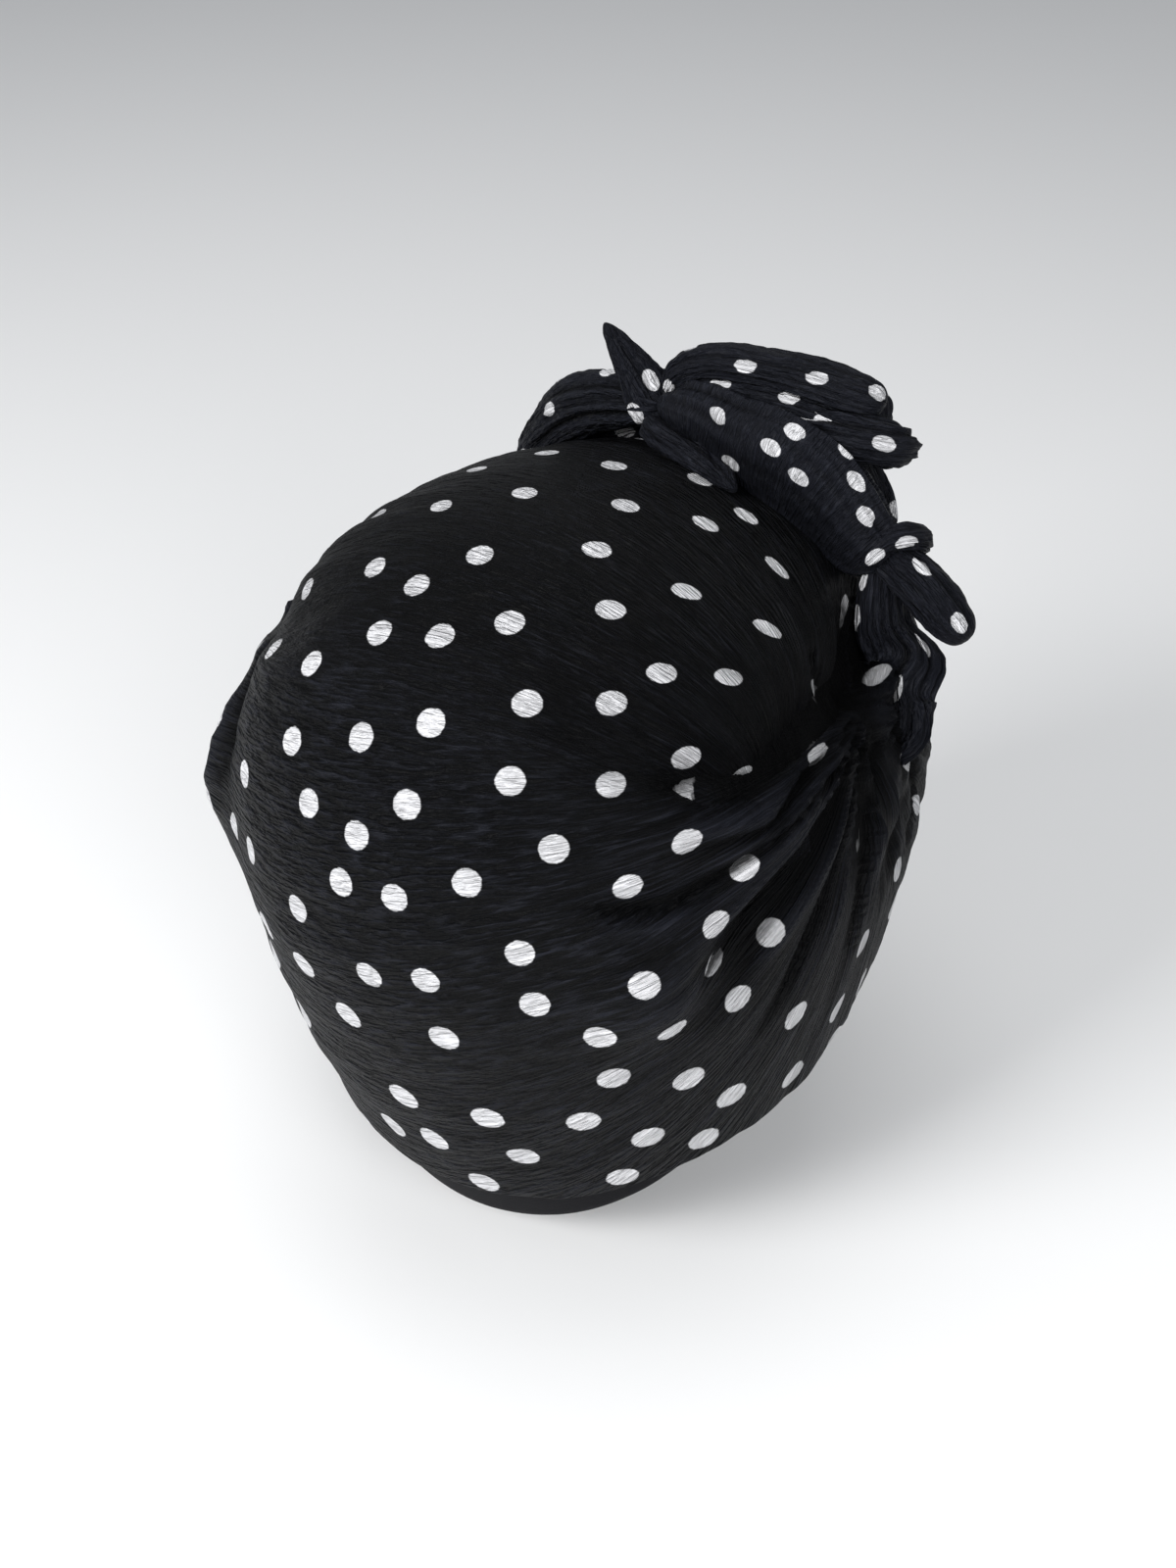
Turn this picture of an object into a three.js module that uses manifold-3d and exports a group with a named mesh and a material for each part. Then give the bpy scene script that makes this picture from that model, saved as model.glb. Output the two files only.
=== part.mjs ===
// A turban headwrap of thin crinkled jersey, worn: a soft cap that covers the crown, the ears and the nape,
// whose side pleats are drawn up to a tied knot over the forehead.
// Millimetres, +Z up. The face looks along -Y and the wearer's right is -X.
// The origin is the point inside the crown where the top of the head bears.
import * as THREE from "three";
import { mergeVertices } from "three/addons/utils/BufferGeometryUtils.js";
import Module from "manifold-3d";

const wasm = await Module();
wasm.setup();

// Driving dimensions of the cap, measured over the cloth
const capWidth = 164;
const frontReach = 106; // from the crown's axis to the forehead
const backReach = 85.5; // from the crown's axis to the back of the head
const capDrop = 174; // from the crown down to the nape
const girthDrop = 79; // from the crown down to the widest ring
const clothWall = 2;
const layerGap = 0.4; // between one layer of cloth and the next

// The under layer that shows below the nape hem
const napeBandHang = 19;
const napeBandFullness = 0.6; // below 1 the band hangs more evenly towards its ends
const napeBandTuck = 26;
const bandWall = 1.6;

// The knot, from its centre on top of the forehead
const knotForward = 46; // from the crown's axis to its centre line
const knotHalfSpan = 60;
const knotDepth = 30;
const knotRise = 25;
const rollSize = 20; // the width of the widest roll

// Shape of the bare dome: fullness above the girth, and how much each side draws in below it
const domeFullness = 2.45;
const sideTaper = 0.21;
const frontTaper = 0.26;
const backTaper = 0.31;

// The cap's hem: how far down it reaches, as a share of capDrop, by degrees from the nape line
const hem = [
  { degrees: 0, drop: 0.955 },
  { degrees: 30, drop: 0.927 },
  { degrees: 50, drop: 0.886 },
  { degrees: 65, drop: 0.84 },
  { degrees: 90, drop: 0.8 },
  { degrees: 110, drop: 0.72 },
  { degrees: 128, drop: 0.59 },
  { degrees: 150, drop: 0.45 },
  { degrees: 180, drop: 0.38 },
];

// Folds that fan out from each side of the knot, a row for each: height in wall thicknesses (a valley is
// negative), half width near the knot and far from it as shares of girthDrop, how much wider the upper
// side is, and the way it runs as [degrees from the nape line, drop as a share of capDrop].
const folds = [
  { name: "pocket", height: -4.4, near: 0.07, far: 0.12, upper: 1.8,
    way: [[131, 0.157], [115, 0.169], [104, 0.2], [90, 0.21], [79, 0.22], [68, 0.216], [56, 0.185]] },
  { name: "pocket_lip", height: 1.9, near: 0.07, far: 0.1, upper: 0.8,
    way: [[122, 0.2], [104, 0.225], [93, 0.24], [79, 0.262], [68, 0.285], [57, 0.3]] },
  { name: "long_valley", height: -2.6, near: 0.07, far: 0.09, upper: 1.2,
    way: [
      [104, 0.25], [98, 0.265], [87, 0.3], [78, 0.345], [68, 0.405], [60, 0.475], [51, 0.52], [42, 0.53],
    ] },
  { name: "ear_valley", height: -1.2, near: 0.07, far: 0.1, upper: 1.0,
    way: [[118, 0.22], [112, 0.25], [102, 0.3], [92, 0.36], [81, 0.43], [72, 0.49], [62, 0.56]] },
  { name: "cheek_valley", height: -1.1, near: 0.07, far: 0.1, upper: 1.0,
    way: [[128, 0.26], [118, 0.31], [108, 0.38], [100, 0.45], [90, 0.53]] },
  { name: "shelf", height: -1.2, near: 0.09, far: 0.12, upper: 1.3,
    way: [[72, 0.22], [59, 0.193], [48, 0.157], [38, 0.12], [28, 0.1]] },
];

// Slack cloth that stands proud at the back corners
const corner = { degrees: 52, drop: 0.455, height: 3.1, spread: 0.085 };

const radians = THREE.MathUtils.degToRad;

// Smooth value of a table's column at x: cubic through the rows, flat at both ends.
function tableAt(rows, key, column, x) {
  const last = rows.length - 1;
  const at = THREE.MathUtils.clamp(x, rows[0][key], rows[last][key]);
  let i = 0;
  while (i < last - 1 && at > rows[i + 1][key]) i += 1;
  const slope = (k) =>
    k <= 0 || k >= last
      ? 0
      : (rows[k + 1][column] - rows[k - 1][column]) / (rows[k + 1][key] - rows[k - 1][key]);
  const span = rows[i + 1][key] - rows[i][key];
  const t = (at - rows[i][key]) / span;
  const rise = rows[i + 1][column] - rows[i][column];
  const smooth = t * t * (3 - 2 * t);
  const lean = t * (1 - t) * ((1 - t) * slope(i) - t * slope(i + 1)) * span;
  return rows[i][column] + rise * smooth + lean;
}

function hemDrop(angle) {
  return capDrop * tableAt(hem, "degrees", "drop", Math.abs(THREE.MathUtils.radToDeg(angle)));
}

// How far the bare dome stands from its axis on a side with this reach, at a drop below the crown
function domeReach(reach, taper, drop) {
  if (drop < girthDrop) {
    return reach * Math.sqrt(1 - Math.pow(1 - Math.max(drop, 0) / girthDrop, domeFullness));
  }
  return reach * (1 - taper * Math.pow((drop - girthDrop) / (capDrop - girthDrop), 1.5));
}

// A point of the bare dome. The angle runs from the nape line, and is positive on the wearer's right.
function domePoint(angle, drop) {
  const back = Math.cos(angle) > 0;
  const along = back ? domeReach(backReach, backTaper, drop) : domeReach(frontReach, frontTaper, drop);
  return new THREE.Vector3(
    -domeReach(capWidth / 2, sideTaper, drop) * Math.sin(angle),
    along * Math.cos(angle),
    clothWall - drop,
  );
}

// The outward normal of the bare dome
function domeNormal(angle, drop) {
  const step = 0.4;
  const turn = step / backReach;
  const low = Math.max(drop, 2 * step);
  const across = domePoint(angle + turn, low).sub(domePoint(angle - turn, low));
  const down = domePoint(angle, low + step).sub(domePoint(angle, low - step));
  return down.cross(across).normalize();
}

// Each fold as samples on the dome, on the wearer's right and mirrored on the left
const foldSamples = 40;
const foldLines = folds.flatMap((fold) =>
  [1, -1].map((side) => {
    const way = new THREE.CatmullRomCurve3(
      fold.way.map(([degrees, drop]) => new THREE.Vector3(radians(degrees) * side, drop * capDrop, 0)),
    );
    const points = way.getPoints(foldSamples).map((p) => domePoint(p.x, p.y));
    return { ...fold, points };
  }),
);

// Height of the folds and slack at a point of the dome, in mm
function foldHeight(point) {
  let height = 0;
  for (const line of foldLines) {
    let nearest = 0;
    let distance = Infinity;
    line.points.forEach((sample, i) => {
      const away = sample.distanceTo(point);
      if (away < distance) {
        distance = away;
        nearest = i;
      }
    });
    const along = nearest / foldSamples;
    const half = girthDrop * THREE.MathUtils.lerp(line.near, line.far, along);
    const above = THREE.MathUtils.smoothstep(point.z - line.points[nearest].z, -half, half);
    const width = half * THREE.MathUtils.lerp(1, line.upper, above);
    const start = THREE.MathUtils.smoothstep(along, 0, 0.2);
    const ends = start * (1 - THREE.MathUtils.smoothstep(along, 0.55, 1));
    height += line.height * clothWall * ends * Math.exp(-Math.pow(distance / width, 2));
  }
  for (const side of [1, -1]) {
    const centre = domePoint(radians(corner.degrees) * side, corner.drop * capDrop);
    const share = point.distanceTo(centre) / (corner.spread * capDrop);
    height += corner.height * clothWall * Math.exp(-share * share);
  }
  return height;
}

// A point at a distance out from the cap's folded outer cloth, or in from it where the distance is negative
function capPoint(angle, drop, out) {
  const bare = domePoint(angle, drop);
  return bare.addScaledVector(domeNormal(angle, drop), foldHeight(bare) + out);
}

// Moves every vertex of a geometry by place(vertex) and welds it into one closed surface
function bend(geometry, place) {
  const position = geometry.attributes.position;
  const vertex = new THREE.Vector3();
  for (let i = 0; i < position.count; i += 1) {
    const moved = place(vertex.fromBufferAttribute(position, i));
    position.setXYZ(i, moved.x, moved.y, moved.z);
  }
  geometry.deleteAttribute("normal");
  geometry.deleteAttribute("uv");
  return mergeVertices(geometry, 1e-3);
}

function toSolid(geometry) {
  const triVerts = new Uint32Array(geometry.index.array);
  const vertProperties = new Float32Array(geometry.attributes.position.array);
  const solid = new wasm.Manifold(new wasm.Mesh({ numProp: 3, vertProperties, triVerts }));
  if (solid.volume() > 0) return solid;
  for (let i = 0; i < triVerts.length; i += 3) {
    [triVerts[i + 1], triVerts[i + 2]] = [triVerts[i + 2], triVerts[i + 1]];
  }
  return new wasm.Manifold(new wasm.Mesh({ numProp: 3, vertProperties, triVerts }));
}

// The largest body of a solid as a geometry, so that a cut leaves no crumbs
function toGeometry(solid) {
  const largest = solid.decompose().reduce((a, b) => (b.volume() > a.volume() ? b : a));
  const mesh = largest.getMesh();
  const geometry = new THREE.BufferGeometry();
  geometry.setAttribute("position", new THREE.BufferAttribute(mesh.vertProperties, 3));
  geometry.setIndex(new THREE.BufferAttribute(mesh.triVerts, 1));
  geometry.computeVertexNormals();
  return geometry;
}

// The rings of the cap as shares of the hem's drop: closest together where the folds lie
const crownRings = 5;
const foldRings = 12;
const skirtRings = 5;
const foldZone = { from: 0.13, to: 0.62 };
const ringShares = [
  ...Array.from({ length: crownRings }, (_, i) => foldZone.from * Math.pow(i / crownRings, 2)),
  ...Array.from({ length: foldRings }, (_, i) =>
    THREE.MathUtils.lerp(foldZone.from, foldZone.to, i / foldRings),
  ),
  ...Array.from({ length: skirtRings + 1 }, (_, i) => THREE.MathUtils.lerp(foldZone.to, 1, i / skirtRings)),
];
const capColumns = 60;
const backCrowding = 0.3; // columns stand closer together at the back

// The cap: a double-walled bowl, outer cloth from the crown to the hem and inner cloth back up
function capSolid(outerOffset, innerOffset) {
  const outer = ringShares.map((share) => new THREE.Vector2(share, 0));
  const inner = ringShares.map((share) => new THREE.Vector2(share, 1)).reverse();
  const bowl = new THREE.LatheGeometry([...outer, ...inner], capColumns);
  return toSolid(
    bend(bowl, ({ x, y, z }) => {
      const turn = Math.atan2(x, z);
      const angle = turn - backCrowding * Math.sin(turn);
      const offset = y > 0.5 ? innerOffset : outerOffset;
      return capPoint(angle, Math.hypot(x, z) * hemDrop(angle), offset);
    }),
  );
}

// A closed dome over the cap's outer cloth, which the knot is cut with so that it lies on the cap
function domeSolid(offset) {
  const profile = [...ringShares.map((share) => new THREE.Vector2(share, 0)), new THREE.Vector2(0, 1)];
  const dome = new THREE.LatheGeometry(profile, capColumns);
  return toSolid(
    bend(dome, ({ x, y, z }) => {
      const turn = Math.atan2(x, z);
      const angle = turn - backCrowding * Math.sin(turn);
      if (y > 0.5) return new THREE.Vector3(0, 0, -capDrop / 2);
      return capPoint(angle, Math.hypot(x, z) * hemDrop(angle), offset);
    }),
  );
}

// A strip of cloth laid on the cap between two drops, over an arc centred on a given angle
function stripSolid({ centre, halfArc, columns, rows, top, bottom, offset, wall }) {
  const strip = new THREE.BoxGeometry(1, 1, 1, columns, rows, 1);
  return toSolid(
    bend(strip, ({ x, y, z }) => {
      const angle = centre + 2 * x * halfArc;
      const drop = THREE.MathUtils.lerp(bottom(angle), top(angle), y + 0.5);
      return capPoint(angle, drop, offset(angle, y + 0.5) + (z + 0.5) * wall);
    }),
  );
}

// The under layer at the nape, tucked inside the cap and showing below its hem
function napeBand() {
  const halfArc = radians(64);
  const share = (angle) => Math.max(0, Math.cos((angle / halfArc) * (Math.PI / 2)));
  const bottom = (angle) => hemDrop(angle) + napeBandHang * Math.pow(share(angle), napeBandFullness);
  return stripSolid({
    centre: 0,
    halfArc,
    columns: 20,
    rows: 3,
    bottom,
    top: (angle) => hemDrop(angle) - napeBandTuck,
    offset: () => -clothWall - 2 * layerGap - bandWall,
    wall: bandWall,
  });
}

// The knot's rolls of cloth, a row for each station along a roll. across, forward and up are shares of
// knotHalfSpan, knotDepth and knotRise from the middle of its seat on the cap, with across positive on the
// wearer's left. A tie's row lies on the cap instead, by degrees from the nape line, drop as a share of
// capDrop and lift off the cloth as a share of rollSize.
// deep (front to back) and tall are shares of rollSize, and lean turns the section, in degrees.
const rolls = {
  side_tie_right: [
    { across: -0.95, forward: -0.07, up: -0.34, deep: 0.55, tall: 0.45, lean: 0 },
    { degrees: 119, drop: 0.18, lift: 0.25, deep: 0.65, tall: 0.4, lean: 0 },
    { degrees: 116, drop: 0.22, lift: 0.15, deep: 0.85, tall: 0.33, lean: 0 },
    { degrees: 114, drop: 0.25, lift: 0.09, deep: 0.95, tall: 0.25, lean: 0 },
    { degrees: 112, drop: 0.3, lift: 0.06, deep: 1, tall: 0.22, lean: 0 },
  ],
  side_tie_left: [
    { across: 0.93, forward: 0.43, up: -1.02, deep: 0.45, tall: 0.4, lean: 0 },
    { degrees: -128, drop: 0.21, lift: 0.2, deep: 0.5, tall: 0.4, lean: 0 },
    { degrees: -123, drop: 0.23, lift: 0.14, deep: 0.65, tall: 0.35, lean: 0 },
    { degrees: -117, drop: 0.26, lift: 0.09, deep: 0.8, tall: 0.27, lean: 0 },
    { degrees: -111, drop: 0.3, lift: 0.06, deep: 0.9, tall: 0.22, lean: 0 },
  ],
  knot_band: [
    { across: 0.13, forward: 0, up: 0.42, deep: 0.5, tall: 0.6, lean: 0 },
    { across: -0.1, forward: -0.03, up: 0.46, deep: 0.65, tall: 0.95, lean: -10 },
    { across: -0.32, forward: -0.07, up: 0.34, deep: 0.75, tall: 1.3, lean: -15 },
    { across: -0.53, forward: -0.1, up: 0.24, deep: 0.8, tall: 1.5, lean: -15 },
    { across: -0.73, forward: -0.1, up: 0.02, deep: 0.8, tall: 1.45, lean: -15 },
    { across: -0.9, forward: -0.13, up: -0.24, deep: 0.7, tall: 1.1, lean: -10 },
    { across: -1, forward: -0.13, up: -0.42, deep: 0.45, tall: 0.6, lean: 0 },
  ],
  left_roll: [
    { across: 0.1, forward: 0, up: 0.42, deep: 0.6, tall: 0.5, lean: 0 },
    { across: 0.33, forward: 0.1, up: 0.3, deep: 0.75, tall: 0.7, lean: 0 },
    { across: 0.57, forward: 0.2, up: 0.06, deep: 0.8, tall: 0.75, lean: 0 },
    { across: 0.77, forward: 0.3, up: -0.3, deep: 0.7, tall: 0.7, lean: 0 },
    { across: 0.92, forward: 0.4, up: -0.7, deep: 0.55, tall: 0.6, lean: 0 },
    { across: 1, forward: 0.5, up: -1.14, deep: 0.4, tall: 0.45, lean: 0 },
  ],
  right_roll: [
    { across: -0.3, forward: 0.13, up: 0.62, deep: 0.45, tall: 0.35, lean: 0 },
    { across: -0.5, forward: 0.17, up: 0.66, deep: 0.6, tall: 0.45, lean: 0 },
    { across: -0.68, forward: 0.23, up: 0.7, deep: 0.65, tall: 0.55, lean: 0 },
    { across: -0.82, forward: 0.37, up: 0.66, deep: 0.55, tall: 0.5, lean: 0 },
    { across: -0.83, forward: 0.57, up: 0.46, deep: 0.4, tall: 0.4, lean: 0 },
  ],
  front_wrap: [
    { across: -0.93, forward: 0, up: -0.42, deep: 0.5, tall: 0.75, lean: 0 },
    { across: -0.75, forward: 0.37, up: -0.3, deep: 0.65, tall: 1, lean: 0 },
    { across: -0.47, forward: 0.7, up: -0.14, deep: 0.75, tall: 1.15, lean: 0 },
    { across: 0, forward: 0.9, up: -0.02, deep: 0.8, tall: 1.2, lean: 0 },
    { across: 0.47, forward: 0.7, up: -0.18, deep: 0.75, tall: 1.1, lean: 0 },
    { across: 0.77, forward: 0.47, up: -0.58, deep: 0.6, tall: 0.9, lean: 0 },
    { across: 0.93, forward: 0.33, up: -1.02, deep: 0.45, tall: 0.7, lean: 0 },
  ],
  top_roll: [
    { across: 0.1, forward: 0.03, up: 0.54, deep: 0.35, tall: 0.35, lean: 0 },
    { across: 0.05, forward: 0.07, up: 0.78, deep: 0.45, tall: 0.4, lean: 0 },
    { across: -0.1, forward: 0.13, up: 0.94, deep: 0.55, tall: 0.45, lean: 0 },
    { across: -0.37, forward: 0.2, up: 0.98, deep: 0.6, tall: 0.45, lean: 0 },
    { across: -0.53, forward: 0.2, up: 1, deep: 0.6, tall: 0.45, lean: 0 },
    { across: -0.73, forward: 0.27, up: 0.92, deep: 0.55, tall: 0.45, lean: 0 },
    { across: -0.83, forward: 0.37, up: 0.78, deep: 0.45, tall: 0.4, lean: 0 },
  ],
  inner_roll: [
    { across: 0.05, forward: 0, up: 0.62, deep: 0.4, tall: 0.3, lean: 0 },
    { across: -0.2, forward: 0.03, up: 0.74, deep: 0.45, tall: 0.35, lean: 0 },
    { across: -0.43, forward: 0.07, up: 0.76, deep: 0.45, tall: 0.35, lean: 0 },
    { across: -0.67, forward: 0.1, up: 0.72, deep: 0.45, tall: 0.35, lean: 0 },
    { across: -0.83, forward: 0.17, up: 0.64, deep: 0.35, tall: 0.3, lean: 0 },
  ],
  front_roll: [
    { across: 0.03, forward: 0.4, up: 0.62, deep: 0.65, tall: 0.65, lean: 0 },
    { across: -0.3, forward: 0.53, up: 0.7, deep: 0.8, tall: 0.75, lean: 0 },
    { across: -0.57, forward: 0.53, up: 0.68, deep: 0.75, tall: 0.7, lean: 0 },
    { across: -0.77, forward: 0.47, up: 0.54, deep: 0.6, tall: 0.6, lean: 0 },
  ],
  tail_ring: [
    { across: -0.93, forward: -0.3, up: -0.34, deep: 0.25, tall: 0.25, lean: 0 },
    { across: -1, forward: -0.2, up: -0.1, deep: 0.3, tall: 0.3, lean: 0 },
    { across: -1.07, forward: 0, up: -0.1, deep: 0.33, tall: 0.3, lean: 0 },
    { across: -1.05, forward: 0.23, up: -0.34, deep: 0.3, tall: 0.3, lean: 0 },
  ],
  right_tail: [
    { across: -0.95, forward: -0.1, up: -0.3, deep: 0.45, tall: 0.45, lean: 0 },
    { across: -1.08, forward: -0.07, up: -0.46, deep: 0.6, tall: 0.55, lean: 0 },
    { across: -1.22, forward: -0.03, up: -0.7, deep: 0.65, tall: 0.55, lean: 0 },
    { across: -1.35, forward: -0.03, up: -0.96, deep: 0.45, tall: 0.4, lean: 0 },
  ],
};

const seatDrop = girthDrop * (1 - Math.pow(1 - (knotForward / frontReach) ** 2, 1 / domeFullness));
const knotSeat = new THREE.Vector3(0, -knotForward, clothWall - seatDrop);
function stationPoint({ across, forward, up, degrees, drop, lift }) {
  if (degrees !== undefined) return capPoint(radians(degrees), drop * capDrop, lift * rollSize);
  return new THREE.Vector3(across * knotHalfSpan, -forward * knotDepth, up * knotRise).add(knotSeat);
}

// A roll of cloth: a bundle with an oval section that follows its stations, gathered lengthwise
const rollSides = 10;
const gathers = 5;
const gatherDepth = 0.07;
function rollSolid(stations, grow) {
  const path = new THREE.CatmullRomCurve3(stations.map(stationPoint));
  const steps = 2 * (stations.length - 1);
  const rows = stations.map((station, i) => ({ ...station, along: i / (stations.length - 1) }));
  const tube = new THREE.CylinderGeometry(1, 1, 1, rollSides, steps);
  return toSolid(
    bend(tube, ({ x, y, z }) => {
      const along = 0.5 - y;
      const tangent = path.getTangent(along);
      const centre = path.getPoint(along);
      const endwise = (along <= 0 ? -grow : 0) + (along >= 1 ? grow : 0);
      const outward = new THREE.Vector3(0, 0, 1).addScaledVector(tangent, -tangent.z).normalize();
      const sideways = new THREE.Vector3().crossVectors(tangent, outward);
      const lean = radians(tableAt(rows, "along", "lean", along));
      const deep = (tableAt(rows, "along", "deep", along) * rollSize) / 2;
      const tall = (tableAt(rows, "along", "tall", along) * rollSize) / 2;
      const around = Math.atan2(x, z);
      const inset = Math.hypot(x, z);
      const ripple = 1 + gatherDepth * Math.cos(gathers * around);
      const end = Math.sqrt(Math.max(0, 1 - Math.pow(Math.abs(2 * along - 1), 10)));
      const round = 0.55 + 0.45 * end;
      const a = inset * (deep * ripple * round + grow) * Math.cos(around);
      const b = inset * (tall * ripple * round + grow) * Math.sin(around);
      return centre
        .addScaledVector(tangent, endwise)
        .addScaledVector(sideways, a * Math.cos(lean) - b * Math.sin(lean))
        .addScaledVector(outward, a * Math.sin(lean) + b * Math.cos(lean));
    }),
  );
}

// The free ends of the two tails: flat leaves of cloth, folded along the middle
const leaves = {
  tail_tip: [
    { across: 0.12, forward: 0, up: 0.3, deep: 0.6, tall: 0.25, lean: 41 },
    { across: 0.2, forward: 0, up: 0.54, deep: 0.6, tall: 0.2, lean: 41 },
    { across: 0.3, forward: 0, up: 0.82, deep: 0.4, tall: 0.17, lean: 41 },
    { across: 0.42, forward: 0, up: 1.1, deep: 0.12, tall: 0.12, lean: 41 },
  ],
  tail_flap: [
    { across: 0.13, forward: -0.13, up: 0.2, deep: 0.45, tall: 0.3, lean: 0 },
    { across: 0, forward: -0.17, up: 0.14, deep: 0.6, tall: 0.28, lean: 0 },
    { across: -0.15, forward: -0.27, up: 0.12, deep: 0.55, tall: 0.25, lean: 0 },
    { across: -0.3, forward: -0.4, up: 0.07, deep: 0.15, tall: 0.15, lean: 0 },
  ],
};

const cloth = new THREE.MeshStandardMaterial({ color: 0x17181c, roughness: 0.85, metalness: 0 });
const headwrap = new THREE.Group();

function addPiece(name, solid) {
  const mesh = new THREE.Mesh(toGeometry(solid), cloth.clone());
  mesh.name = name;
  headwrap.add(mesh);
}

addPiece("cap_shell", capSolid(0, -clothWall));
addPiece("nape_band", napeBand());

// Every roll and leaf of the knot is cut back from the cap and from what was laid before it
let laid = domeSolid(layerGap);
for (const [name, stations] of Object.entries({ ...rolls, ...leaves })) {
  addPiece(name, rollSolid(stations, 0).subtract(laid));
  laid = laid.add(rollSolid(stations, layerGap));
}

export default headwrap;
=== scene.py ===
"""Looks of a soft turban headwrap of crinkled, dotted jersey, in metres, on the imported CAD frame."""

import math

import bmesh
import bpy
import numpy as np
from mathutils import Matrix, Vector, kdtree, noise


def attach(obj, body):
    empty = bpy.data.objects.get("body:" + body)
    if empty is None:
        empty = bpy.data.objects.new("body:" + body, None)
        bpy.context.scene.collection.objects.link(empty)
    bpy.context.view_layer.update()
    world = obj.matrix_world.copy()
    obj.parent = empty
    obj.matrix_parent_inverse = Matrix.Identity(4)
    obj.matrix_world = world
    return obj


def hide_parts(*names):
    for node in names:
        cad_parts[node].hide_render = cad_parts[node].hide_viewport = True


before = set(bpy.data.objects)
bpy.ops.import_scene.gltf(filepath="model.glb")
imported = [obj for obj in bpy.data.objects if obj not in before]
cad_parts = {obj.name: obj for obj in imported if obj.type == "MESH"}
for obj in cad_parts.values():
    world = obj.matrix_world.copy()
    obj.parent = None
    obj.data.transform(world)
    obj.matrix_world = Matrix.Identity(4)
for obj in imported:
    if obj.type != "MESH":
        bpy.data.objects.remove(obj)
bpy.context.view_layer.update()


# The camera stands behind the wearer's right shoulder and looks a little down on the crown.
camera_turn, camera_rise = math.radians(217), math.radians(35)
camera_distance = 0.48
camera_aside = 0.0038
camera_height = -0.078
towards_camera = Vector((
    math.sin(camera_turn) * math.cos(camera_rise),
    -math.cos(camera_turn) * math.cos(camera_rise),
    math.sin(camera_rise),
))
camera_right = Vector((math.cos(camera_turn), math.sin(camera_turn), 0))
camera_aim = Vector((0, 0, camera_height)) + camera_right * camera_aside
camera_lens = bpy.data.cameras.new("camera")
camera_lens.lens = 43.76
camera_lens.sensor_width = 36
camera_lens.clip_end = 50
camera = bpy.data.objects.new("camera", camera_lens)
camera.location = camera_aim + towards_camera * camera_distance
camera.rotation_euler = (-towards_camera).to_track_quat("-Z", "Y").to_euler()
bpy.context.collection.objects.link(camera)
bpy.context.scene.camera = camera


# The cap is one deep bowl of crinkled rib jersey, stretched over the crown, the ears and the nape.
# Its two side edges are drawn up to the knot, so that folds and fine pleats fan out from each side,
# and its hem is turned in. The white dots are woven in.
MM = 0.001
cap_width, front_reach, back_reach = 164, 106, 85.5
cap_drop, girth_drop = 174, 79
dome_fullness, side_taper, front_taper, back_taper = 2.45, 0.21, 0.26, 0.31
cloth_wall = 2
# How low the hem hangs: degrees from the nape line, share of the cap's drop
hem_rows = (
    (0, 0.955), (30, 0.927), (50, 0.886), (65, 0.84), (90, 0.8), (110, 0.72), (128, 0.59), (150, 0.45),
    (180, 0.38),
)


def smooth_table(rows, x):
    """Values of a short table at x, on a smooth curve through its rows that is flat at both ends."""
    keys, values = np.array(rows, float).T
    slopes = np.zeros(len(keys))
    slopes[1:-1] = (values[2:] - values[:-2]) / (keys[2:] - keys[:-2])
    at = np.clip(x, keys[0], keys[-1])
    row = np.clip(np.searchsorted(keys, at, side="right") - 1, 0, len(keys) - 2)
    span = keys[row + 1] - keys[row]
    t = (at - keys[row]) / span
    rise = (values[row + 1] - values[row]) * t * t * (3 - 2 * t)
    return values[row] + rise + t * (1 - t) * ((1 - t) * slopes[row] - t * slopes[row + 1]) * span


def smooth_step(x, low, high):
    t = np.clip((x - low) / (high - low), 0, 1)
    return t * t * (3 - 2 * t)


def unit(vectors):
    return vectors / np.maximum(np.linalg.norm(vectors, axis=-1, keepdims=True), 1e-9)


def hem_drop(angle):
    return cap_drop * smooth_table(hem_rows, np.abs(np.degrees(angle)))


def dome_reach(reach, taper, drop):
    """How far the bare dome stands from its axis at a drop below the crown."""
    above = reach * np.sqrt(1 - np.clip(1 - drop / girth_drop, 0, 1) ** dome_fullness)
    below = reach * (1 - taper * (np.clip(drop - girth_drop, 0, None) / (cap_drop - girth_drop)) ** 1.5)
    return np.where(drop < girth_drop, above, below)


def on_dome(angle, drop):
    """A point of the bare dome: the angle runs from the nape line, positive on the wearer's right."""
    back = dome_reach(back_reach, back_taper, drop)
    front = dome_reach(front_reach, front_taper, drop)
    along = np.where(np.cos(angle) > 0, back, front)
    side = dome_reach(cap_width / 2, side_taper, drop)
    return np.stack([-side * np.sin(angle), along * np.cos(angle), cloth_wall - drop + 0 * angle], -1)


def dome_normal(angle, drop):
    step = 0.4
    low = np.maximum(drop, 2 * step)
    across = on_dome(angle + step / back_reach, low) - on_dome(angle - step / back_reach, low)
    down = on_dome(angle, low + step) - on_dome(angle, low - step)
    return unit(np.cross(down, across))


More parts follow.
